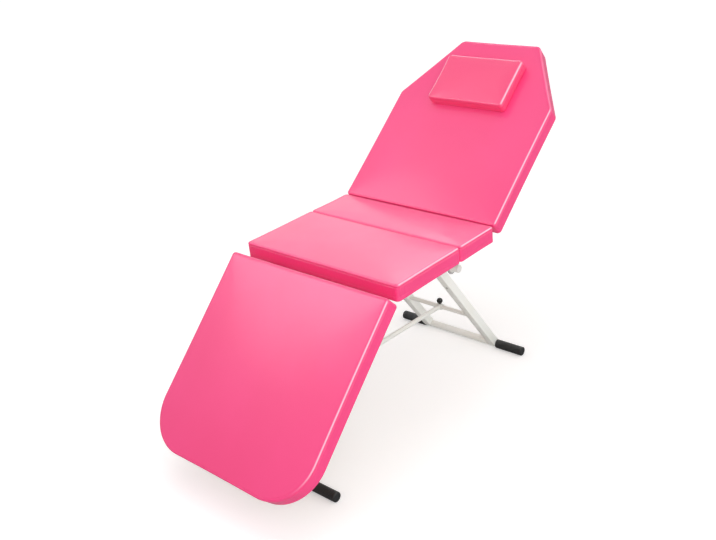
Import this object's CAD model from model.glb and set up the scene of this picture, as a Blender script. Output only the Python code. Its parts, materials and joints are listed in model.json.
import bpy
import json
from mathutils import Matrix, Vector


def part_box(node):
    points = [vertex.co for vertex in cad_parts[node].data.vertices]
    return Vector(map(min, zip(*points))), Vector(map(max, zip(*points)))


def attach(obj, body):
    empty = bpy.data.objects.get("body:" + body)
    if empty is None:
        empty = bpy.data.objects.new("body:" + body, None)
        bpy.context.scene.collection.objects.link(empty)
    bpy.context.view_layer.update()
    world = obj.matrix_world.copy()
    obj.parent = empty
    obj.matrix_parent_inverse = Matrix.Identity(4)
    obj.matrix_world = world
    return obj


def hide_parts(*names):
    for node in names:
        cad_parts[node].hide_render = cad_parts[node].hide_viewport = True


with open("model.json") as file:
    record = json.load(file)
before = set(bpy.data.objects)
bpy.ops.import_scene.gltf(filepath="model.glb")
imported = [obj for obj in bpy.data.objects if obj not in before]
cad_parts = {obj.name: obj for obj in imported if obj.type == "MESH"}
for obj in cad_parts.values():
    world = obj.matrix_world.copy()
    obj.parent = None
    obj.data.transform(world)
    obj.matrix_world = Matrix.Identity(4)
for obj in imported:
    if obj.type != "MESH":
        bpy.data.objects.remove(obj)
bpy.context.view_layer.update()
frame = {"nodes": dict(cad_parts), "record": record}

# Looks of the folding massage table: padded vinyl sections and a pillow, their seams and turned-under
# covers, powder-coated tube frames, ratchet hinges, rubber foot sleeves, a ball knob and the studio.
# Every length is in metres, in the frame's own axes: +X to the head end, +Z up, floor at z = 0.

import json
import logging
import math
import random
from dataclasses import dataclass
from enum import Enum
from functools import lru_cache

import bmesh
import bpy
from mathutils import Matrix, Vector
from mathutils.bvhtree import BVHTree
from mathutils.kdtree import KDTree

log = logging.getLogger("massage_table")
MM = 0.001
JOINTS = {joint["name"]: joint for joint in frame["record"]["behaviour"]["joints"]}


class Sock:
    """A shader value that takes part in Python sums."""

    def __init__(self, graph: "Graph", socket: bpy.types.NodeSocket) -> None:
        """Wraps a node's output socket."""
        self.graph = graph
        self.socket = socket

    def _maths(self, operation: str, left: "Sock | float", right: "Sock | float") -> "Sock":
        """Adds a Math node for left operation right."""
        return self.graph.make("ShaderNodeMath", {"operation": operation}, {0: left, 1: right})

    def __add__(self, other: "Sock | float") -> "Sock":
        """Sum."""
        return self._maths("ADD", self, other)

    __radd__ = __add__

    def __sub__(self, other: "Sock | float") -> "Sock":
        """Difference."""
        return self._maths("SUBTRACT", self, other)

    def __rsub__(self, other: float) -> "Sock":
        """Difference from a number."""
        return self._maths("SUBTRACT", other, self)

    def __mul__(self, other: "Sock | float") -> "Sock":
        """Product."""
        return self._maths("MULTIPLY", self, other)

    __rmul__ = __mul__


class Graph:
    """The node tree of one material, or of the world."""

    def __init__(self, owner: bpy.types.Material | bpy.types.World) -> None:
        """Starts from the output and the shader that the owner's tree begins with."""
        owner.use_nodes = True
        self.tree = owner.node_tree
        self.output = next(node for node in self.tree.nodes if node.bl_idname.startswith("ShaderNodeOutput"))
        self.surface = self.output.inputs["Surface"].links[0].from_node

    def make(self, kind: str, settings: dict | None = None, values: dict | None = None,
             out: str | int = 0) -> Sock:
        """Makes any node.

        Args:
            kind: the node's type.
            settings: properties that are set first, or a grey ramp's stops as places and levels.
            values: what goes into its sockets, by name or number.
            out: the output that is handed back.

        Returns:
            The chosen output.
        """
        node = self.tree.nodes.new(kind)
        for name, value in (settings or {}).items():
            if name == "stops":
                elements = node.color_ramp.elements
                while len(elements) < len(value):
                    elements.new(1.0)
                for stop, (place, level) in zip(elements, value):
                    stop.position, stop.color = place, (level, level, level, 1.0)
            else:
                setattr(node, name, value)
        for name, value in (values or {}).items():
            self.feed(node.inputs[name], value)
        return Sock(self, node.outputs[out])

    def feed(self, socket: bpy.types.NodeSocket, value: object) -> None:
        """Links a value to a socket, or sets a constant on it."""
        if isinstance(value, Sock):
            self.tree.links.new(value.socket, socket)
        elif isinstance(value, (tuple, list)) and socket.type == "RGBA" and len(value) == 3:
            socket.default_value = (*value, 1.0)
        else:
            socket.default_value = value

    def set(self, **values: object) -> None:
        """Feeds sockets of the surface shader; an underscore in a name stands for a space."""
        for name, value in values.items():
            self.feed(self.surface.inputs[name.replace("_", " ")], value)

    def place(self) -> Sock:
        """The point on the piece, in metres."""
        return self.make("ShaderNodeTexCoord", out="Object")

    def stretched(self, place: Sock, factors: tuple[float, float, float]) -> Sock:
        """A point with each axis scaled by its own factor."""
        return self.make("ShaderNodeVectorMath", {"operation": "MULTIPLY"}, {0: place, 1: factors})

    def noise(self, place: Sock, scale: float, detail: float = 2.0) -> Sock:
        """Soft noise with that many lumps to the metre."""
        return self.make("ShaderNodeTexNoise", values={"Vector": place, "Scale": scale, "Detail": detail})

    def cells(self, place: Sock, scale: float) -> Sock:
        """Distance to the nearest of scattered points."""
        return self.make("ShaderNodeTexVoronoi", values={"Vector": place, "Scale": scale}, out="Distance")

    def spread(self, value: Sock, low: float, high: float, to_low: float = 0.0,
               to_high: float = 1.0) -> Sock:
        """Maps low..high to another range, smoothly and clamped."""
        return self.make("ShaderNodeMapRange", {"interpolation_type": "SMOOTHSTEP"},
                         {"Value": value, "From Min": low, "From Max": high, "To Min": to_low,
                          "To Max": to_high})

    def blend(self, factor: Sock | float, first: object, second: object) -> Sock:
        """A colour between two colours."""
        return self.make("ShaderNodeMix", {"data_type": "RGBA"}, {0: factor, 6: first, 7: second}, out=2)

    def bump(self, height: Sock, depth: float, strength: float = 1.0) -> Sock:
        """A normal that is roughened by a height, depth metres high."""
        return self.make("ShaderNodeBump", values={"Height": height, "Distance": depth, "Strength": strength})

    def shader(self) -> Sock:
        """The surface shader's result."""
        return Sock(self, self.surface.outputs[0])

    def ray(self, kind: str) -> Sock:
        """Whether the ray that sees the surface is of a kind."""
        return self.make("ShaderNodeLightPath", out=kind)

    def show(self, shader: Sock) -> None:
        """Hands a shader to the tree's output."""
        self.feed(self.output.inputs["Surface"], shader)


@dataclass(frozen=True)
class Finish:
    """A surface finish; its kinds say how it is shaded."""

    name: str
    slot: str
    colour: tuple[float, float, float]

    @lru_cache(maxsize=None)
    def material(self) -> bpy.types.Material:
        """The finish's material, made once."""
        material = bpy.data.materials.new(self.name)
        material.diffuse_color = (*self.colour, 1.0)
        self.shade(Graph(material))
        return material

    def shade(self, graph: Graph) -> None:
        """Fills the material's nodes."""
        raise NotImplementedError


@dataclass(frozen=True)
class Vinyl(Finish):
    """Glossy coated cloth over foam, with a fine pebble grain."""

    deep: tuple[float, float, float] = (0.80, 0.02, 0.12)
    pale: tuple[float, float, float] = (1.0, 0.66, 0.80)
    grain: float = 900.0
    pore_grain: float = 2160.0
    relief: float = 0.05 * MM
    cloud_tint: float = 0.16
    pebble_tint: float = 0.06
    stretch_tint: float = 0.75
    rough: float = 0.38
    coat: float = 0.45
    coat_rough: float = 0.2
    sheen: float = 0.06

    def shade(self, graph: Graph) -> None:
        """Wide changes of tone, pebbles and pores under a clear coat, paler where the vinyl is stretched."""
        place = graph.place()
        clouds = graph.spread(graph.noise(place, 3.5, 3.0), 0.3, 0.75)
        pebbles = graph.cells(place, self.grain)
        pores = graph.noise(place, self.pore_grain, 1.0)
        handled = graph.noise(place, 14.0, 4.0)
        stretch = graph.make("ShaderNodeAttribute", {"attribute_name": "stretch"}, out="Fac")
        skin = graph.blend(clouds * self.cloud_tint + pebbles * self.pebble_tint, self.colour, self.deep)
        graph.set(
            Base_Color=graph.blend(stretch * self.stretch_tint, skin, self.pale),
            Roughness=self.rough + handled * 0.08 + pebbles * 0.05,
            Normal=graph.bump(pebbles * 0.8 + pores * 0.2, self.relief, 0.35),
            Specular_IOR_Level=0.5,
            Coat_Weight=self.coat,
            Coat_Roughness=self.coat_rough,
            Sheen_Weight=self.sheen,
            Sheen_Roughness=0.4,
        )


@dataclass(frozen=True)
class PowderCoat(Finish):
    """Baked powder paint, slightly orange-peeled and scuffed."""

    rough: float = 0.36

    def shade(self, graph: Graph) -> None:
        """Orange peel, faint yellowing and small scuffs that dull the paint."""
        place = graph.place()
        peel = graph.noise(place, 420.0, 2.0)
        aged = graph.spread(graph.noise(place, 7.0, 3.0), 0.45, 0.75)
        scuff = graph.spread(graph.noise(graph.stretched(place, (1.0, 1.0, 3.0)), 60.0, 6.0), 0.66, 0.74)
        warm = tuple(c * k for c, k in zip(self.colour, (0.96, 0.93, 0.86)))
        worn = tuple(c * 0.55 for c in self.colour)
        graph.set(
            Base_Color=graph.blend(scuff * 0.25, graph.blend(aged * 0.5, self.colour, warm), worn),
            Roughness=self.rough + scuff * 0.2 + peel * 0.06,
            Normal=graph.bump(peel - scuff * 0.3, 0.12 * MM, 0.5),
            Coat_Weight=0.15,
            Coat_Roughness=0.2,
        )


@dataclass(frozen=True)
class Plywood(Finish):
    """Birch plywood face with long grain, knots left out."""

    late: tuple[float, float, float] = (0.30, 0.18, 0.08)

    def shade(self, graph: Graph) -> None:
        """Growth bands along the bed, fine fibres and darker pores."""
        place = graph.place()
        long = graph.stretched(place, (0.8, 9.0, 9.0))
        bands = graph.make("ShaderNodeTexWave", {"bands_direction": "Y"},
                           {"Vector": long, "Scale": 1.3, "Distortion": 9.0, "Detail": 3.0,
                            "Detail Scale": 1.2}, out="Fac")
        fibres = graph.noise(graph.stretched(place, (12.0, 420.0, 420.0)), 1.0, 3.0)
        pores = graph.spread(fibres, 0.62, 0.72)
        graph.set(
            Base_Color=graph.blend(bands * 0.55 + pores * 0.3, self.colour, self.late),
            Roughness=0.62 + fibres * 0.15,
            Normal=graph.bump(fibres, 0.2 * MM, 0.4),
        )


@dataclass(frozen=True)
class Metal(Finish):
    """Zinc-plated or turned steel."""

    rough: float = 0.34

    def shade(self, graph: Graph) -> None:
        """Cloudy plating with fine turning marks."""
        place = graph.place()
        cloud = graph.noise(place, 90.0, 4.0)
        marks = graph.noise(graph.stretched(place, (900.0, 120.0, 900.0)), 1.0, 2.0)
        dull = tuple(c * 0.7 for c in self.colour)
        graph.set(
            Base_Color=graph.blend(cloud * 0.6, self.colour, dull),
            Metallic=1.0,
            Roughness=self.rough + cloud * 0.14 + marks * 0.08,
            Normal=graph.bump(marks, 0.02 * MM, 0.4),
        )


@dataclass(frozen=True)
class Moulded(Finish):
    """Moulded rubber or plastic."""

    rough: float = 0.5
    speckle: float = 0.1

    def shade(self, graph: Graph) -> None:
        """A fine spark-eroded skin with faint dust in it."""
        place = graph.place()
        skin = graph.noise(place, 1400.0, 2.0)
        dust = graph.spread(graph.noise(place, 45.0, 5.0), 0.5, 0.8)
        pale = tuple(min(1.0, c * 1.4 + 0.03) for c in self.colour)
        graph.set(
            Base_Color=graph.blend(dust * self.speckle, self.colour, pale),
            Roughness=self.rough + skin * 0.1 + dust * 0.1,
            Normal=graph.bump(skin, 0.03 * MM, 0.5),
        )


class Look(Enum):
    """Every finish on the table."""

    PADS = Vinyl("pink_vinyl", "vinyl", (0.97, 0.050, 0.240))
    PILLOW = Vinyl("pillow_vinyl", "vinyl_dark", (0.97, 0.062, 0.215), deep=(0.85, 0.02, 0.09))
    FRAME = PowderCoat("cream_powder_coat", "frame", (0.90, 0.91, 0.87))
    PLATE = PowderCoat("grey_powder_coat", "plates", (0.42, 0.42, 0.41), rough=0.42)
    BOARD = Plywood("birch_plywood", "board", (0.58, 0.42, 0.25))
    STEEL = Metal("zinc_plated_steel", "steel", (0.66, 0.66, 0.64))
    WHITE = Moulded("white_nylon", "plastic_white", (0.74, 0.73, 0.70), rough=0.42)
    RUBBER = Moulded("black_rubber", "rubber", (0.018, 0.018, 0.019), rough=0.38, speckle=0.2)
    THREAD = Moulded("pink_thread", "vinyl", (0.42, 0.012, 0.085), rough=0.7)
    KNOB = Moulded("black_phenolic", "plastic_black", (0.012, 0.012, 0.013), rough=0.16, speckle=0.1)

    def on(self, piece: bpy.types.Object) -> bpy.types.Object:
        """Gives a piece this finish."""
        piece.data.materials.clear()
        piece.data.materials.append(self.value.material())
        return piece


def piece_from(name: str, points: list, faces: list, sharp: float = 35.0) -> bpy.types.Object:
    """Makes a mesh piece, smooth but for its sharp edges.

    Args:
        name: the piece's name.
        points: its vertices.
        faces: its faces, as indices.
        sharp: the angle in degrees from which an edge stays sharp.

    Returns:
        The new object.
    """
    mesh = bpy.data.meshes.new(name)
    mesh.from_pydata([tuple(p) for p in points], [], faces)
    mesh.validate()
    piece = bpy.data.objects.new(name, mesh)
    bpy.context.scene.collection.objects.link(piece)
    outward(mesh)
    smooth(mesh, sharp)
    return piece


def outward(mesh: bpy.types.Mesh) -> None:
    """Turns a closed mesh's faces outwards."""
    work = bmesh.new()
    work.from_mesh(mesh)
    bmesh.ops.recalc_face_normals(work, faces=work.faces)
    work.to_mesh(mesh)
    work.free()


def smooth(mesh: bpy.types.Mesh, sharp: float) -> None:
    """Shades a mesh smooth up to an angle in degrees."""
    mesh.shade_smooth()
    mesh.set_sharp_from_angle(angle=math.radians(sharp))


def settle(piece: bpy.types.Object) -> None:
    """Turns a piece's modifiers into its mesh."""
    shown = piece.evaluated_get(bpy.context.evaluated_depsgraph_get())
    mesh = bpy.data.meshes.new_from_object(shown)
    piece.modifiers.clear()
    piece.data = mesh


def turns(count: int) -> list[float]:
    """Angles at equal steps round a circle."""
    return [math.tau * k / count for k in range(count)]


def ring_faces(rings: int, count: int, closed: bool = False) -> list[tuple[int, ...]]:
    """Faces between rings of vertices.

    Args:
        rings: how many rings follow one another.
        count: how many vertices each ring has.
        closed: whether the last ring joins the first again.

    Returns:
        The four-sided faces.
    """
    faces = []
    for r in range(rings if closed else rings - 1):
        near, far = r * count, (r + 1) % rings * count
        faces += [(near + k, near + (k + 1) % count, far + (k + 1) % count, far + k) for k in range(count)]
    return faces


def end_faces(rings: int, count: int) -> list[tuple[int, ...]]:
    """The faces that close the first and the last ring."""
    return [tuple(range(count)), tuple((rings - 1) * count + k for k in reversed(range(count)))]


def swept(path: list[Vector], radius: float, sides: int) -> tuple[list, list]:
    """Sweeps a round section along an open path.

    Args:
        path: the centre line.
        radius: the section's radius.
        sides: how many points the section has.

    Returns:
        The vertices and faces.
    """
    points = []
    for i, here in enumerate(path):
        along = (path[min(i + 1, len(path) - 1)] - path[max(i - 1, 0)]).normalized()
        level = Vector((0.0, 0.0, 1.0)) if abs(along.z) < 0.9 else Vector((0.0, 1.0, 0.0))
        across = along.cross(level).normalized()
        up = across.cross(along)
        points += [here + radius * (math.cos(turn) * across + math.sin(turn) * up) for turn in turns(sides)]
    return points, ring_faces(len(path), sides) + end_faces(len(path), sides)


def lathed(profile: list[tuple[float, float]], centre: Vector, axes: tuple[Vector, Vector, Vector],
           sides: int) -> tuple[list, list]:
    """Turns a profile round an axis.

    Args:
        profile: its radii and heights.
        centre: the point at height 0.
        axes: two directions across the axis, and the one along it.
        sides: how many points each ring has.

    Returns:
        The vertices and faces.
    """
    first, second, up = axes
    points = [centre + (first * math.cos(turn) + second * math.sin(turn)) * radius + up * height
              for radius, height in profile for turn in turns(sides)]
    return points, ring_faces(len(profile), sides) + end_faces(len(profile), sides)


@dataclass(frozen=True)
class Outline:
    """A flat outline with rounded corners, given anticlockwise from the hinge end."""

    corners: tuple[tuple[float, float], ...]
    radii: tuple[float, ...]
    draw: float
    fine: float = 2 * MM
    coarse: float = 6 * MM
    reach: float = 34 * MM
    least_radius: float = 0.5 * MM
    least_steps: int = 5

    def arc(self, i: int, inset: float) -> list[tuple[Vector, Vector]]:
        """One rounded corner of the outline moved inwards, as points with outward directions."""
        here = Vector(self.corners[i])
        back = (Vector(self.corners[i - 1]) - here).normalized()
        ahead = (Vector(self.corners[(i + 1) % len(self.corners)]) - here).normalized()
        half = math.acos(max(-1.0, min(1.0, back.dot(ahead)))) / 2
        radius = max(self.least_radius, self.radii[i] - inset)
        centre = here + (back + ahead).normalized() * (inset + radius) / math.sin(half)
        start, turn = math.atan2(back.x, -back.y), math.pi - 2 * half
        count = max(self.least_steps, round(self.radii[i] * turn / self.fine))
        angles = [start + turn * k / count for k in range(count + 1)]
        ways = [Vector((math.cos(a), math.sin(a))) for a in angles]
        return [(centre + way * radius, way) for way in ways]

    def shares(self, i: int) -> list[float]:
        """Places along the side after corner i, closer together near its ends."""
        length = (self.arc((i + 1) % len(self.corners), 0.0)[0][0] - self.arc(i, 0.0)[-1][0]).length
        near = [self.fine * k for k in range(1, int(min(self.reach, length / 2) / self.fine))]
        rest = length - 2 * near[-1]
        count = max(2, round(rest / self.coarse))
        between = [near[-1] + rest * k / count for k in range(1, count)]
        stops = near + between + [length - d for d in reversed(near)]
        return [d / length for d in stops]

    def points(self, inset: float = 0.0) -> list[tuple[Vector, Vector]]:
        """Walks round the outline.

        Args:
            inset: how far the outline is moved inwards.

        Returns:
            Each point with its outward direction; the same number for every inset.
        """
        arcs = [self.arc(i, inset) for i in range(len(self.corners))]
        walk = []
        for i, arc in enumerate(arcs):
            walk += arc
            (start, way), after = arc[-1], arcs[(i + 1) % len(arcs)][0][0]
            for share in self.shares(i):
                walk.append((start.lerp(after, share) - self.draw * math.sin(math.pi * share) * way, way))
        return walk

    def spaced(self, inset: float, step: float) -> list[tuple[Vector, Vector]]:
        """Points of the walk about one step apart."""
        walk = self.points(inset)
        chosen, gone = [walk[0]], 0.0
        for (before, _), here in zip(walk, walk[1:]):
            gone += (here[0] - before).length
            if gone >= step:
                chosen.append(here)
                gone = 0.0
        return chosen


@dataclass(frozen=True)
class Place:
    """Where a section lies: its own axes start at a hinge and point away from the seat."""

    origin: Vector
    angle: float = 0.0
    mirrored: bool = False

    def matrix(self) -> Matrix:
        """The section's own axes in the frame."""
        flip = Matrix.Scale(-1.0, 4, Vector((1.0, 0.0, 0.0))) if self.mirrored else Matrix.Identity(4)
        return Matrix.Translation(self.origin) @ Matrix.Rotation(-math.radians(self.angle), 4, "Y") @ flip


# A sewn groove from below to above: places in widths from its middle, and how deep it is there.
GROOVE = ((-0.8, -0.1), (-0.5, 0.0), (-0.28, 0.35), (-0.1, 0.92), (0.1, 0.92), (0.28, 0.35), (0.5, 0.0))
# The rings of a pad's top, as shares of the way from its middle to its rolled edge.
TOP_RINGS = (0.992, 0.98, 0.96, 0.93, 0.89, 0.84, 0.78, 0.7, 0.6, 0.48, 0.34, 0.2, 0.08)


@dataclass
class Pad:
    """A foam pad in a sewn vinyl cover, with its seams, corner pleats and turned-under hem."""

    node: str
    body: str
    look: Look
    outline: Outline
    place: Place
    start: float
    base: float
    thick: float
    board: bool = True
    edge: float = 5.5 * MM
    edge_steps: int = 7
    slack: float = 0.2 * MM
    curl: float = 1.8 * MM
    curl_steps: int = 5
    fold_height: float = 12 * MM
    fold_depth: float = 0.7 * MM
    fold_width: float = 3 * MM
    fold_below: float = 5 * MM
    fold_above: float = 4 * MM
    band_steps: int = 6
    seam_below: float = 3 * MM
    seam_width: float = 4 * MM
    seam_depth: float = 2.6 * MM
    crease_width: float = 1.5 * MM
    crease_depth: float = 0.7 * MM
    crest_angle: float = 55.0
    crest_spread: float = 22.0
    crest_sides: int = 10
    pleat: float = 0.9 * MM
    pleat_width: float = 2.2 * MM
    pleat_places: tuple[float, ...] = (9 * MM, 15 * MM, 24 * MM)
    stray: float = 1.5 * MM
    wrinkle: float = 0.35 * MM
    wrinkle_lengths: tuple[float, float] = (45 * MM, 120 * MM)
    wrinkle_sum: float = 2.8
    rise: float = 3 * MM
    crown_reach: float = 75 * MM
    fill: float = 0.85
    cell: float = 6 * MM
    pressure: float = 4.0
    held: float = 4 * MM
    frames: int = 20
    carriers: int = 10
    stitch_step: float = 4.2 * MM
    stitch_half: float = 1.3 * MM
    thread: float = 0.22 * MM
    thread_lift: float = 0.2 * MM
    probe: float = 20 * MM
    hem: float = 22 * MM
    hem_inset: float = 5 * MM
    hem_low: float = -1.1 * MM
    hem_high: float = -0.35 * MM
    staple_step: float = 30 * MM
    staple_half: float = 5.5 * MM
    staple_wire: float = 0.45 * MM
    staple_levels: tuple[float, float] = (-0.5 * MM, 0.2 * MM)

    def top(self) -> float:
        """Height of the cover's flat top."""
        return self.thick - self.slack

    def sewn(self) -> float:
        """Height of the seam below the rolled top edge."""
        return self.top() - self.edge - self.seam_width * 0.5

    def section(self) -> list[tuple[float, float]]:
        """The cover's section from its hem to the flat top, as insets and heights."""
        slack, top, sewn, quarter = self.slack, self.top(), self.sewn(), math.pi / 2
        curl = [quarter * k / self.curl_steps for k in range(self.curl_steps + 1)]
        roll = [quarter * k / self.edge_steps for k in range(1, self.edge_steps + 1)]
        first, last = self.fold_height + self.fold_above, sewn - self.seam_below
        inner = slack + self.edge + self.crease_width * 0.6
        rings = [(slack + self.curl * (1 - math.sin(a)), self.curl * (1 - math.cos(a))) for a in curl]
        rings += [(slack, self.fold_height - self.fold_below)]
        rings += [(slack + self.fold_depth * deep, self.fold_height + self.fold_width * at)
                  for at, deep in GROOVE]
        rings += [(slack, first + (last - first) * k / self.band_steps) for k in range(self.band_steps + 1)]
        rings += [(slack + self.seam_depth * deep, sewn + self.seam_width * at) for at, deep in GROOVE]
        rings += [(slack + self.edge * (1 - math.cos(a)), top - self.edge * (1 - math.sin(a))) for a in roll]
        rings += [(inner + self.crease_width * at, top - self.crease_depth * deep) for at, deep in GROOVE[1:]]
        return rings

    def stretch(self, inset: float, z: float, way: Vector) -> float:
        """How far the vinyl is stretched there: fully on the crest of a long rolled edge."""
        out, up = self.slack + self.edge - inset, z - (self.top() - self.edge)
        if out <= 0.0 or up <= 0.0:
            return 0.0
        crest = (math.degrees(math.atan2(up, out)) - self.crest_angle) / self.crest_spread
        return math.exp(-crest ** 2) * abs(way.y) ** self.crest_sides

    def crown(self, spot: Vector) -> float:
        """How far the foam's top stands up: not at all along its edges, nearly fully in its middle."""
        height, inner, corners = self.rise, self.slack + self.edge, self.outline.corners
        for corner, after in zip(corners, corners[1:] + corners[:1]):
            along = (Vector(after) - Vector(corner)).normalized()
            away = along.x * (spot.y - corner[1]) - along.y * (spot.x - corner[0]) - inner
            height *= 1 - math.exp(-max(0.0, away) / self.crown_reach)
        return height

    def folds(self, walk: list[tuple[Vector, Vector]]) -> list[float]:
        """How far each point of the side band is drawn in by the corner pleats and slack vinyl."""
        rng = random.Random(self.node)
        waves = [(rng.uniform(*self.wrinkle_lengths), rng.uniform(0.0, math.tau), rng.uniform(0.4, 1.0))
                 for _ in range(4)]
        pleats = []
        for corner in self.outline.corners:
            near = min(range(len(walk)), key=lambda k: (walk[k][0] - Vector(corner)).length)
            for side in (-1, 1):
                for far in self.pleat_places:
                    k, start = near, walk[near][0]
                    while (walk[k % len(walk)][0] - start).length < far + rng.uniform(-1, 1) * self.stray:
                        k += side
                    pleats.append((walk[k % len(walk)][0], rng.uniform(0.5, 1.0)))
        drawn, gone = [], 0.0
        for k, (point, _) in enumerate(walk):
            gone += (point - walk[k - 1][0]).length if k else 0.0
            soft = sum(size * (0.5 + 0.5 * math.sin(math.tau * gone / wave + phase))
                       for wave, phase, size in waves)
            deep = sum(size * math.exp(-((point - at).length / self.pleat_width) ** 2) for at, size in pleats)
            drawn.append(self.wrinkle * soft / self.wrinkle_sum + self.pleat * deep)
        return drawn

    def cover(self) -> bpy.types.Object:
        """The sewn cover over the cut foam, before it is pulled tight."""
        drawn, roll = self.folds(self.outline.points()), self.top() - self.edge
        crown = lambda spot: 0.0
        points, stretches = [], []
        for inset, z in self.section():
            share = math.sin(math.pi * (z / roll)) if z < roll else 0.0
            for (p, way), fold in zip(self.outline.points(inset), drawn):
                spot = p - way * fold * share
                points.append(Vector((spot.x, spot.y, z)))
                stretches.append(self.stretch(inset, z, way))
        count = len(drawn)
        rim = points[-count:]
        middle = sum(rim, Vector((0.0, 0.0, 0.0))) / count
        for share in TOP_RINGS:
            ring = [middle + (p - middle) * share for p in rim]
            points += [p + Vector((0.0, 0.0, crown(p))) for p in ring]
        faces = ring_faces(len(points) // count, count)
        under, over, last = len(points), len(points) + 1, len(points) - count
        points += [Vector((middle.x, middle.y, 0.0)), Vector((middle.x, middle.y, middle.z + crown(middle)))]
        for k in range(count):
            after = (k + 1) % count
            faces += [(under, after, k), (over, last + k, last + after)]
        cover = piece_from(self.node + "_cover", points, faces, 60.0)
        stretches += [0.0] * (len(points) - len(stretches))
        cover.data.attributes.new("stretch", "FLOAT", "POINT").data.foreach_set("value", stretches)
        return cover

    def swell(self, cover: bpy.types.Object) -> None:
        """Swells the cover over its foam by a cloth simulation on a coarser copy, held by the board."""
        foam = bpy.data.objects.new(self.node + "_foam", cover.data.copy())
        bpy.context.scene.collection.objects.link(foam)
        remesh = foam.modifiers.new("cells", "REMESH")
        remesh.mode, remesh.voxel_size = "VOXEL", self.cell
        settle(foam)
        held = foam.vertex_groups.new(name="held")
        held.add([v.index for v in foam.data.vertices if v.co.z < self.held], 1.0, "REPLACE")
        before = [v.co.copy() for v in foam.data.vertices]
        cloth = foam.modifiers.new("cover", "CLOTH")
        cloth.settings.vertex_group_mass = "held"
        cloth.settings.use_pressure = True
        cloth.settings.uniform_pressure_force = self.pressure
        cloth.settings.effector_weights.gravity = 0.0
        cloth.settings.quality = 4
        cloth.point_cache.frame_start, cloth.point_cache.frame_end = 1, self.frames
        for step in range(1, self.frames + 1):
            bpy.context.scene.frame_set(step)
        shown = foam.evaluated_get(bpy.context.evaluated_depsgraph_get())
        moved = [v.co - old for v, old in zip(shown.data.vertices, before)]
        bpy.data.objects.remove(foam)
        bpy.context.scene.frame_set(1)
        tree = KDTree(len(before))
        for i, spot in enumerate(before):
            tree.insert(spot, i)
        tree.balance()
        gain = min(1.0, self.rise / max(m.z for m in moved))
        side_cap = self.slack * 0.8
        for vertex in cover.data.vertices:
            shift, weight = Vector((0.0, 0.0, 0.0)), 0.0
            for _, i, far in tree.find_n(vertex.co, self.carriers):
                share = math.exp(-(far / self.cell) ** 2)
                shift += moved[i] * share
                weight += share
            shift /= max(weight, 1e-9)
            flat = Vector((shift.x, shift.y, 0.0))
            if flat.length > 0.0:
                flat *= side_cap * math.tanh(flat.length / side_cap) / flat.length
            vertex.co += flat + Vector((0.0, 0.0, shift.z * gain))
        log.info("%s: swollen by up to %.1f mm", self.node, max(m.length for m in moved) / MM)

    def stitches(self, cover: bpy.types.Object) -> bpy.types.Object:
        """Thread showing in the seam below the rolled edge."""
        tree = BVHTree.FromObject(cover, bpy.context.evaluated_depsgraph_get())
        points, faces = [], []
        for p, way in self.outline.spaced(0.0, self.stitch_step):
            outwards, along = Vector((way.x, way.y, 0.0)), Vector((-way.y, way.x, 0.0))
            start = Vector((p.x, p.y, self.sewn())) + outwards * self.probe
            hit = tree.ray_cast(start, -outwards, self.probe * 3)[0]
            if hit is None:
                continue
            middle = hit + outwards * self.thread_lift
            path = [middle + along * t * self.stitch_half for t in (-1.0, -0.4, 0.4, 1.0)]
            more, sides = swept(path, self.thread, 5)
            faces += [tuple(i + len(points) for i in f) for f in sides]
            points += more
        return piece_from(self.node + "_stitches", points, faces, 60.0)

    def turned_under(self) -> list[bpy.types.Object]:
        """The cover's hem under the board's edge, with its row of staples."""
        outer, inner = self.outline.points(self.hem_inset), self.outline.points(self.hem_inset + self.hem)
        low, high = self.hem_low, self.hem_high
        rng = random.Random(self.node + "hem")
        points = []
        for ring, z in ((outer, high), (outer, low), (inner, low), (inner, high)):
            for p, way in ring:
                wave = rng.uniform(-0.5, 0.5) * MM if ring is inner else 0.0
                points.append((p.x + way.x * wave, p.y + way.y * wave, z))
        hem = piece_from(self.node + "_hem", points, ring_faces(4, len(outer), closed=True))
        points, faces = [], []
        for p, way in self.outline.spaced(self.hem_inset + self.hem * 0.6, self.staple_step):
            along, first = Vector((-way.y, way.x)), len(points)
            for level in self.staple_levels:
                for u, v in ((-1, -1), (1, -1), (1, 1), (-1, 1)):
                    spot = p + along * u * self.staple_half + way * v * self.staple_wire
                    points.append((spot.x, spot.y, low + level))
            faces += [tuple(first + i for i in f) for f in ring_faces(2, 4) + end_faces(2, 4)]
        return [hem, Look.STEEL.on(piece_from(self.node + "_staples", points, faces))]

    def build(self) -> None:
        """Builds the pad with what is sewn to it, and puts it in its place."""
        cover = self.cover()
        self.swell(cover)
        self.look.on(cover)
        trims = [Look.THREAD.on(self.stitches(cover))]
        if self.board:
            trims += self.turned_under()
        lift = Matrix.Translation(Vector((self.start, 0.0, self.base)))
        for piece in [cover, *trims]:
            if not piece.data.materials:
                self.look.on(piece)
            piece.data.transform(self.place.matrix() @ lift)
            if self.place.mirrored:
                piece.data.flip_normals()
            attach(piece, self.body)
        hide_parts(self.node)
        log.info("%s: %d vertices", self.node, len(cover.data.vertices))


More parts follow.
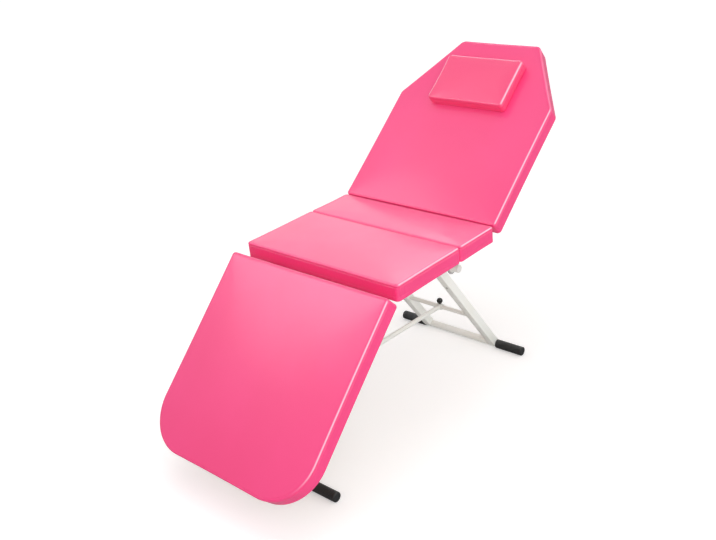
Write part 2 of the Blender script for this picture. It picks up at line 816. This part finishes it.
@dataclass
class Bed:
    """The five padded pieces, laid out from the frame's hinges."""

    half_width: float = 302 * MM
    seat_length: float = 290 * MM
    strip_length: float = 174 * MM
    back_length: float = 666 * MM
    leg_length: float = 618 * MM
    leg_half: float = 312 * MM
    thick: float = 50 * MM
    draw: float = 1 * MM
    corner: float = 12 * MM
    toe: float = 143 * MM
    shoulder: float = 430 * MM
    head_half: float = 153.5 * MM
    head_corner: float = 26 * MM
    back_drop: float = 53 * MM
    leg_drop: float = 65 * MM
    leg_start: float = -8.9 * MM
    pillow_start: float = 395 * MM
    pillow_length: float = 182 * MM
    pillow_half: float = 148 * MM
    pillow_thick: float = 36 * MM
    pillow_lift: float = 3 * MM

    def shape(self, *corners: tuple[float, float, float]) -> Outline:
        """An outline alike on both sides, from each corner's place along it, half width and radius."""
        near = tuple((x, -half) for x, half, _ in corners)
        far = tuple((x, half) for x, half, _ in reversed(corners))
        radii = tuple(radius for *_, radius in corners)
        return Outline(near + far, radii + radii[::-1], self.draw)

    def pads(self) -> list[Pad]:
        """Every padded piece."""
        half, corner = self.half_width, self.corner
        seat = Place(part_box("seat_pad")[0].copy())
        seat.origin.y = 0.0
        recline, tilt = JOINTS["back_recline"], JOINTS["leg_rest_tilt"]
        back = Place(Vector(recline["pos_m"]), -recline["range_deg"][0])
        leg = Place(Vector(tilt["pos_m"]), tilt["range_deg"][1], mirrored=True)
        back_start = self.back_drop * math.tan(math.radians(back.angle) / 2)
        seat_shape = self.shape((0.0, half, corner), (self.seat_length, half, corner))
        strip_shape = self.shape((0.0, half, corner), (self.strip_length, half, corner))
        back_shape = self.shape((0.0, half, corner), (self.shoulder, half, self.head_corner),
                                (self.back_length, self.head_half, self.head_corner))
        leg_shape = self.shape((0.0, self.leg_half, corner), (self.leg_length, self.leg_half, self.toe))
        pillow_shape = self.shape((0.0, self.pillow_half, corner),
                                  (self.pillow_length, self.pillow_half, corner))
        return [
            Pad("seat_pad", "seat", Look.PADS, seat_shape, seat, 0.0, 0.0, self.thick),
            Pad("strip_pad", "seat", Look.PADS, strip_shape, seat, self.seat_length, 0.0, self.thick),
            Pad("back_pad", "back", Look.PADS, back_shape, back, back_start, self.back_drop - self.thick,
                self.thick),
            Pad("leg_pad", "leg_rest", Look.PADS, leg_shape, leg, self.leg_start,
                self.leg_drop - self.thick, self.thick),
            Pad("pillow", "back", Look.PILLOW, pillow_shape, back, back_start + self.pillow_start,
                self.back_drop + self.pillow_lift, self.pillow_thick, edge=7 * MM, board=False, rise=4 * MM,
                crown_reach=45 * MM, cell=5 * MM),
        ]

    def build(self) -> None:
        """Builds every pad."""
        for pad in self.pads():
            pad.build()


@dataclass
class Ironwork:
    """Tubes, plates and small hardware: the frame's own shapes with rounded edges."""

    tube_edge: float = 2.6 * MM
    plate_edge: float = 0.7 * MM
    small_edge: float = 0.35 * MM
    edge_rows: int = 3
    sharp: float = 40.0
    flat: float = 1.0
    merge: float = 0.002 * MM

    def groups(self) -> list[tuple[Look, float, list[str]]]:
        """Each finish with its edge rounding and the nodes that carry it."""
        ends, sides, sections = ("rear", "front"), ("left", "right"), ("seat", "back", "leg")
        lengths = [f"{section}_rail" for section in sections] + [f"{end}_leg" for end in ends]
        tubes = [f"{part}_{side}" for part in lengths for side in sides]
        tubes += [f"seat_crossrail_{spot}" for spot in ("front", "middle", "rear")]
        tubes += ["back_crossrail_lower", "back_crossrail_upper"]
        tubes += ["leg_crossrail_upper", "leg_crossrail_lower"]
        bars = [f"{end}_{part}" for end in ends for part in ("pivot_tube", "crossbar", "ground_bar")]
        plates = [f"{end}_bracket_{side}" for end in ends for side in sides]
        plates += ["seat_hinge_plates_back", "seat_hinge_plates_leg", "back_hinge_plates", "leg_hinge_plates"]
        steel = ["ratchet_wheels", "hinge_pins", "back_pawls", "leg_pawls"]
        steel += [f"{section}_board_screws" for section in sections]
        nylon = ["pivot_bushes"] + [f"{section}_rail_plugs" for section in sections]
        nylon += [f"pivot_tube_caps_{end}" for end in ends]
        return [(Look.FRAME, self.tube_edge, tubes), (Look.FRAME, self.small_edge, bars),
                (Look.FRAME, self.small_edge, ["stay_collar", "stay_rod"]),
                (Look.PLATE, self.plate_edge, plates), (Look.STEEL, self.small_edge, steel),
                (Look.WHITE, self.small_edge, nylon)]

    def rounded(self, node: str, look: Look, edge: float) -> None:
        """Makes a piece that stands for a node, with its edges rounded.

        Args:
            node: the frame's node.
            look: its finish.
            edge: the width of the rounding.
        """
        piece = bpy.data.objects.new(node + "_finished", frame["nodes"][node].data.copy())
        bpy.context.scene.collection.objects.link(piece)
        piece.data.materials.clear()
        work = bmesh.new()
        work.from_mesh(piece.data)
        bmesh.ops.remove_doubles(work, verts=work.verts, dist=self.merge)
        bmesh.ops.dissolve_limit(work, angle_limit=math.radians(self.flat), verts=work.verts,
                                 edges=work.edges)
        work.to_mesh(piece.data)
        work.free()
        bevel = piece.modifiers.new("rounding", "BEVEL")
        bevel.width, bevel.segments = edge, self.edge_rows
        bevel.limit_method, bevel.angle_limit = "ANGLE", math.radians(self.sharp)
        bevel.use_clamp_overlap = True
        settle(piece)
        smooth(piece.data, self.sharp)
        look.on(piece)
        bodies = frame["record"]["behaviour"]["bodies"]
        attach(piece, next(body for body, nodes in bodies.items() if node in nodes))
        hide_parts(node)

    def boards(self) -> None:
        """Gives the boards their plywood."""
        for node in ("seat_board", "strip_board", "back_board", "leg_board"):
            Look.BOARD.on(frame["nodes"][node])

    def build(self) -> None:
        """Finishes every hard node but the sleeves and the knob."""
        for look, edge, nodes in self.groups():
            for node in nodes:
                self.rounded(node, look, edge)
            log.info("%s: %d nodes", look.name.lower(), len(nodes))
        self.boards()


@dataclass
class Sleeve:
    """A ribbed rubber sleeve pushed over the end of a ground bar."""

    node: str
    body: str
    ribs: int = 22
    rib_depth: float = 1.2 * MM
    lip: float = 2.5 * MM

    def build(self) -> None:
        """Builds the sleeve with its lengthwise ribs, smooth end bands and closed end."""
        low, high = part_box(self.node)
        radius = (high.x - low.x) / 2
        centre = Vector(((low.x + high.x) / 2, 0.0, high.z - radius))
        inner, outer = (low.y, high.y) if abs(low.y) < abs(high.y) else (high.y, low.y)
        way = 1.0 if outer > inner else -1.0
        length = abs(outer - inner)
        sides = self.ribs * 8
        stations = [(0.0, 0.84, 0), (0.0, 0.96, 0), (0.6 * MM, 1.0, 0), (7 * MM, 1.0, 0), (8 * MM, 1.0, 1),
                    (length - 10 * MM, 1.0, 1), (length - 9 * MM, 1.0, 0), (length - self.lip, 1.0, 0),
                    (length - self.lip * 0.35, 0.965, 0), (length, 0.85, 0), (length - 0.6 * MM, 0.5, 0),
                    (length - 0.6 * MM, 0.05, 0)]
        points = []
        for along, share, ribbed in stations:
            for turn in turns(sides):
                wave = 0.5 - 0.5 * math.cos(self.ribs * turn)
                reach = radius * share - ribbed * self.rib_depth * (1 - min(1.0, wave * 1.8))
                points.append((centre.x + reach * math.cos(turn), inner + way * along,
                               max(0.0, centre.z + reach * math.sin(turn))))
        faces = ring_faces(len(stations), sides) + end_faces(len(stations), sides)
        sleeve = Look.RUBBER.on(piece_from(self.node + "_ribbed", points, faces, 50.0))
        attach(sleeve, self.body)
        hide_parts(self.node)


@dataclass
class Weld:
    """A rippled weld bead round a crossbar where it meets a leg's inner face."""

    bar: str
    leg: str
    body: str
    bead: float = 1.7 * MM
    ripples: int = 20
    sides: int = 8

    def build(self) -> None:
        """Builds the bead."""
        (low, high), (near, far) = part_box(self.bar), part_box(self.leg)
        face = near.y if near.y > 0.0 else far.y
        centre, radius = (low + high) / 2, (high.x - low.x) / 2
        rounds = turns(self.ripples * 6)
        points = []
        for turn in rounds:
            size = self.bead * (0.8 + 0.2 * abs(math.sin(self.ripples * turn / 2)))
            for side in turns(self.sides):
                reach = radius + size * math.cos(side)
                points.append((centre.x + reach * math.cos(turn), face + size * math.sin(side),
                               centre.z + reach * math.sin(turn)))
        faces = ring_faces(len(rounds), self.sides, closed=True)
        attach(Look.FRAME.on(piece_from(f"{self.bar}_weld_{self.leg}", points, faces, 80.0)), self.body)


@dataclass
class Button:
    """The small domed button low on the front face of a rear leg."""

    leg: str
    body: str = "rear_trestle"
    down: float = 141 * MM
    radius: float = 4 * MM
    height: float = 2.6 * MM
    sides: int = 32

    def build(self) -> None:
        """Builds the button."""
        pivot, foot = (sum((Vector(c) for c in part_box(node)), Vector()) / 2
                       for node in ("rear_pivot_tube", "rear_ground_bar"))
        low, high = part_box(self.leg)
        along = (foot - pivot).normalized()
        out = Vector((along.z, 0.0, -along.x))
        centre = pivot + along * self.down + out * (high.y - low.y) / 2
        centre.y = (low.y + high.y) / 2
        dome = [(1.0, -0.6), (1.0, 0.25), (0.93, 0.5), (0.75, 0.78), (0.5, 0.93), (0.22, 1.0)]
        profile = [(self.radius * share, self.height * up) for share, up in dome]
        points, faces = lathed(profile, centre, (along, Vector((0.0, 1.0, 0.0)), out), self.sides)
        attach(Look.STEEL.on(piece_from(self.leg + "_button", points, faces, 50.0)), self.body)


@dataclass
class Knob:
    """The ball knob of the stay's clamp screw."""

    node: str = "ball_knob"
    body: str = "knob"
    sides: int = 48
    pole: float = 0.01 * MM
    line: float = 0.12 * MM
    stud: float = 3 * MM

    def build(self) -> None:
        """Builds the ball with its moulding line and flat, and its steel stud."""
        low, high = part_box(self.node)
        radius = (high.x - low.x) / 2
        axis, centre, top = (low + high) / 2, high.z - radius, high.z - 0.15 * MM
        ball = [(self.pole, centre - radius * 1.12), (0.42 * radius, centre - radius * 1.12),
                (0.44 * radius, centre - radius * 0.93)]
        for k in range(4, 31):
            turn = -math.pi / 2 + math.pi * k / 31
            line = self.line if k in (15, 16) else 0.0
            ball.append(((radius - 0.1 * MM + line) * math.cos(turn), centre + radius * math.sin(turn)))
        ball += [(0.16 * radius, top), (self.pole, top)]
        stud = [(self.pole, low.z), (self.stud * 0.8, low.z), (self.stud, low.z + 0.6 * MM),
                (self.stud, centre - radius), (self.pole, centre - radius)]
        axes = tuple(Matrix.Identity(3))
        for name, look, profile in (("ball", Look.KNOB, ball), ("stud", Look.STEEL, stud)):
            points, faces = lathed(profile, Vector((axis.x, axis.y, 0.0)), axes, self.sides)
            piece = look.on(piece_from("knob_" + name, points, faces, 40.0))
            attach(piece, self.body)
            if name == "ball":
                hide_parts(self.node)


@dataclass
class Studio:
    """The photograph's camera, a pale floor, a white surround and soft lamps."""

    seat_front: float
    width: float = 716.0
    focal_pixels: float = 919.7
    yaw: float = 44.0
    pitch: float = 25.2
    roll: float = -6.2
    sensor: float = 36.0
    stand: tuple[float, float, float] = (-1.6607, -1.7671, 1.6721)
    fill: float = 0.68
    gloss: tuple[tuple[float, float], ...] = ((0.0, 0.3), (0.15, 0.65), (0.6, 0.6), (0.9, 0.35))
    floor_half: float = 30.0
    glow_reach: tuple[float, float] = (1.2, 6.0)
    glow: tuple[float, float] = (0.34, 0.47)

    def camera(self) -> None:
        """Puts the camera where the photograph was taken from."""
        yaw, pitch, roll = (math.radians(a) for a in (self.yaw, self.pitch, self.roll))
        ahead = Vector((math.cos(pitch) * math.cos(yaw), math.cos(pitch) * math.sin(yaw), -math.sin(pitch)))
        level = ahead.cross(Vector((0.0, 0.0, 1.0))).normalized()
        plumb = level.cross(ahead)
        right = math.cos(roll) * level + math.sin(roll) * plumb
        up = math.cos(roll) * plumb - math.sin(roll) * level
        data = bpy.data.cameras.new("photo_camera")
        data.sensor_width = self.sensor
        data.lens = self.focal_pixels / self.width * self.sensor
        camera = bpy.data.objects.new("photo_camera", data)
        turn = Matrix((right, up, -ahead)).transposed().to_4x4()
        spot = Vector(self.stand) + Vector((self.seat_front, 0.0, 0.0))
        camera.matrix_world = Matrix.Translation(spot) @ turn
        bpy.context.scene.collection.objects.link(camera)
        bpy.context.scene.camera = camera

    def lamp(self, name: str, spot: tuple[float, float, float], aim: tuple[float, float, float],
             size: tuple[float, float], power: float, lights: bool = True, shines: bool = True) -> None:
        """Adds a soft rectangular lamp.

        Args:
            name: the lamp's name.
            spot: where it hangs.
            aim: the point that it faces.
            size: its width and height.
            power: its power in watts.
            lights: whether it lights the pieces.
            shines: whether it shows in their gloss.
        """
        data = bpy.data.lights.new(name, "AREA")
        data.shape = "RECTANGLE"
        data.size, data.size_y = size
        data.energy = power
        lamp = bpy.data.objects.new(name, data)
        lamp.matrix_world = Matrix.Translation(Vector(spot)) @ (
            Vector(spot) - Vector(aim)).to_track_quat("Z", "Y").to_matrix().to_4x4()
        lamp.visible_diffuse, lamp.visible_glossy = lights, shines
        bpy.context.scene.collection.objects.link(lamp)

    def lamps(self) -> None:
        """Broad lamps that light the table, and others that show in its gloss."""
        self.lamp("overhead", (0.1, 0.2, 3.4), (0.0, 0.0, 0.5), (2.4, 2.4), 20.0, shines=False)
        self.lamp("front_fill", (-2.3, -2.9, 2.1), (-0.2, 0.0, 0.4), (3.0, 3.0), 50.0, shines=False)
        self.lamp("side_fill", (1.2, -3.2, 1.2), (0.0, 0.0, 0.5), (2.0, 1.5), 14.0, shines=False)
        self.lamp("far_wash", (-1.3, 2.2, 2.8), (-0.2, 0.0, 0.5), (1.6, 1.5), 30.0, lights=False)
        self.lamp("leg_wash", (-1.9, 2.2, 3.3), (-0.1, -0.2, 0.5), (1.2, 1.0), 10.0, lights=False)
        self.lamp("seat_wash", (2.2, 2.2, 2.0), (0.0, 0.0, 0.57), (3.0, 1.6), 20.5, lights=False)
        self.lamp("strip_wash", (2.35, 1.06, 2.71), (0.4, -0.3, 0.57), (1.6, 1.0), 24.0, lights=False)
        self.lamp("back_wash", (0.0, 1.7, 3.3), (0.7, -0.1, 0.75), (0.8, 1.4), 3.0, lights=False)
        self.lamp("edge_strip", (-0.45, -2.3, 2.2), (0.0, -0.3, 0.6), (3.4, 2.2), 75.0, lights=False)
        self.lamp("head_strip", (2.9, -1.9, 2.7), (0.0, -0.3, 0.6), (2.2, 2.0), 50.0, lights=False)

    def world(self) -> None:
        """White to the camera, a soft grey fill, and in the gloss a pale horizon over a dark floor."""
        world = bpy.data.worlds.new("surround")
        bpy.context.scene.world = world
        graph = Graph(world)
        graph.set(Color=(1.0, 0.99, 0.98), Strength=self.fill)
        way = graph.make("ShaderNodeTexCoord", out="Generated")
        height = graph.make("ShaderNodeSeparateXYZ", values={0: way}, out="Z")
        sky = graph.make("ShaderNodeValToRGB", {"stops": self.gloss}, {"Fac": height})
        gloss = graph.make("ShaderNodeBackground", values={"Color": (0.8, 0.8, 0.8), "Strength": sky})
        white = graph.make("ShaderNodeBackground", values={"Color": (1.0, 1.0, 1.0), "Strength": 1.0})
        seen = graph.make("ShaderNodeMath", {"operation": "MAXIMUM"},
                          {0: graph.ray("Is Camera Ray"), 1: graph.ray("Is Transmission Ray")})
        inner = graph.make("ShaderNodeMixShader",
                           values={0: graph.ray("Is Glossy Ray"), 1: graph.shader(), 2: gloss})
        graph.show(graph.make("ShaderNodeMixShader", values={0: seen, 1: inner, 2: white}))

    def floor(self) -> None:
        """A pale floor that the camera sees as white but for the table's shadow."""
        half = self.floor_half
        floor = piece_from("floor", [(-half, -half, 0), (half, -half, 0), (half, half, 0), (-half, half, 0)],
                           [(0, 1, 2, 3)])
        if floor.data.polygons[0].normal.z < 0:
            floor.data.flip_normals()
        material = bpy.data.materials.new("pale_floor")
        graph = Graph(material)
        grain = graph.noise(graph.place(), 3.0)
        graph.set(Base_Color=graph.blend(grain * 0.1, (0.86, 0.86, 0.86), (0.82, 0.82, 0.82)), Roughness=0.9,
                  Specular_IOR_Level=0.1)
        away = graph.make("ShaderNodeVectorMath", {"operation": "LENGTH"}, {0: graph.place()}, out="Value")
        strength = graph.ray("Is Camera Ray") * graph.spread(away, *self.glow_reach, *self.glow)
        glow = graph.make("ShaderNodeEmission", values={"Strength": strength})
        graph.show(graph.make("ShaderNodeAddShader", values={0: graph.shader(), 1: glow}))
        floor.data.materials.append(material)
        floor.visible_glossy = False

    def build(self) -> None:
        """Sets up the whole studio."""
        bpy.context.scene.view_settings.view_transform = "Standard"
        self.camera()
        self.lamps()
        self.world()
        self.floor()


def main() -> None:
    """Builds the studio and every piece, in order."""
    logging.basicConfig(level=logging.INFO, format="%(message)s")
    Studio(seat_front=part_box("seat_pad")[0].x).build()
    log.info("studio")
    Ironwork().build()
    for end in ("rear", "front"):
        for side in ("left", "right"):
            Sleeve(f"{end}_sleeve_{side}", f"{end}_trestle").build()
            Weld(f"{end}_crossbar", f"{end}_leg_{side}", f"{end}_trestle").build()
    for side in ("left", "right"):
        Button(f"rear_leg_{side}").build()
    Knob().build()
    log.info("sleeves, welds, buttons and knob")
    Bed().build()


if __name__ == "__main__":
    main()
